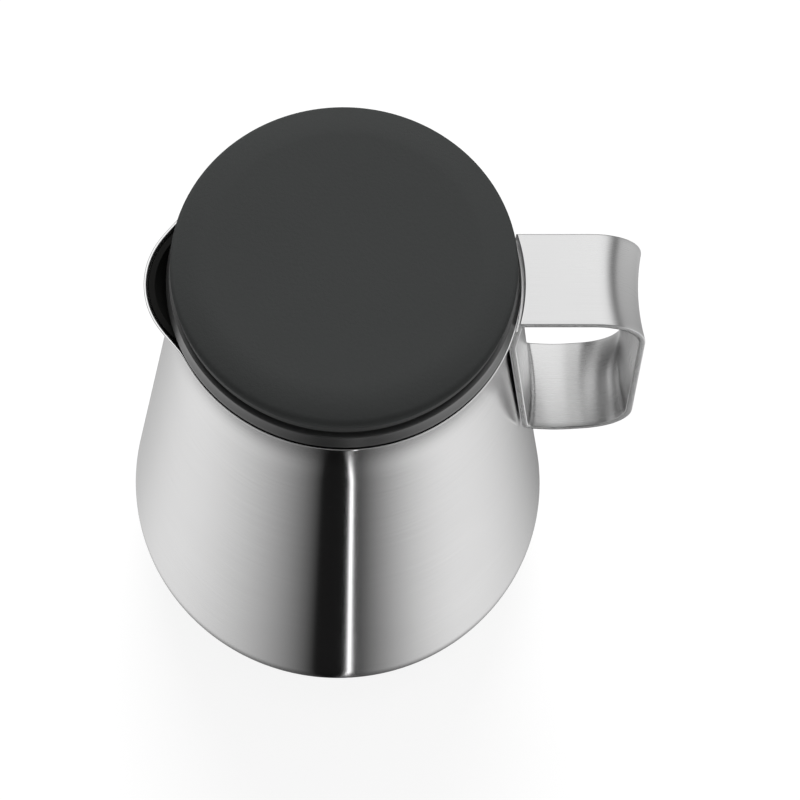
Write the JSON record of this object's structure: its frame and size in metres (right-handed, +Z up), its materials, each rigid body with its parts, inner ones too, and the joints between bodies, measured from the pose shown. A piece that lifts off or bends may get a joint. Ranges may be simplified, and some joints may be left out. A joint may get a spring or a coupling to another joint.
{
  "type": "insulated jug",
  "caption": "Insulated steel jug with a small pouring spout, a closed band handle, a double-walled liner and a lift-off lid whose turning cap raises a valve.",
  "frame": {"origin": "middle of the base pad's lower face, on the axis of the round body", "axes": "+Z up along the body's axis, +X towards the handle, -X towards the spout"},
  "size_m": [0.1708, 0.15, 0.2341],
  "materials": {
    "shell_steel": "satin, brushed round the body",
    "handle_steel": "satin, brushed along the band, with polished edges",
    "fastener_steel": "bright",
    "soft_black": "matt soft-touch with a very fine grain",
    "deep_black": "matt moulded",
    "cam_grey": "smooth moulded",
    "seal_rubber": "matt silicone",
    "silvered_glass": "silvered glass",
    "foam": "fine closed cells"
  },
  "bodies": {
    "jug": {"outer_shell": "shell_steel", "pouring_collar": "deep_black", "collar_seal": "seal_rubber", "liner_inner": "silvered_glass", "liner_outer": "silvered_glass", "spacer_pads": "seal_rubber", "tip_cap": "seal_rubber", "liner_cradle": "seal_rubber", "base_ring": "deep_black", "base_cup": "deep_black", "base_pad": "seal_rubber", "handle_band": "handle_steel", "handle_studs": "fastener_steel", "backing_plate": "fastener_steel", "handle_nuts": "fastener_steel"},
    "stopper": {"stopper_body": "deep_black", "stopper_gasket": "seal_rubber", "guide_spider": "deep_black", "hub_retainer": "deep_black", "retainer_screws": "fastener_steel"},
    "cap": {"lid_shell": "soft_black", "lid_insert": "deep_black", "lid_foam": "foam", "lid_screws": "fastener_steel", "cam_sleeve": "cam_grey"},
    "valve": {"valve_stem": "cam_grey", "follower_pin": "fastener_steel", "valve_plug": "deep_black", "valve_seal": "seal_rubber", "valve_screw": "fastener_steel"}
  },
  "joints": [
    {"name": "stopper_lift", "type": "slide", "parent": "jug", "child": "stopper", "axis": [0, 0, 1], "range_m": [0, 0.06]},
    {"name": "cap_turn", "type": "hinge", "parent": "stopper", "child": "cap", "pos_m": [0, 0, 0.216], "axis": [0, 0, 1], "range_deg": [0, 90]},
    {"name": "valve_rise", "type": "slide", "parent": "stopper", "child": "valve", "axis": [0, 0, 1], "range_m": [0, 0.005]}
  ],
  "couplings": [
    {"joint": "valve_rise", "follows": "cap_turn", "m_per_rad": 0.003183}
  ]
}
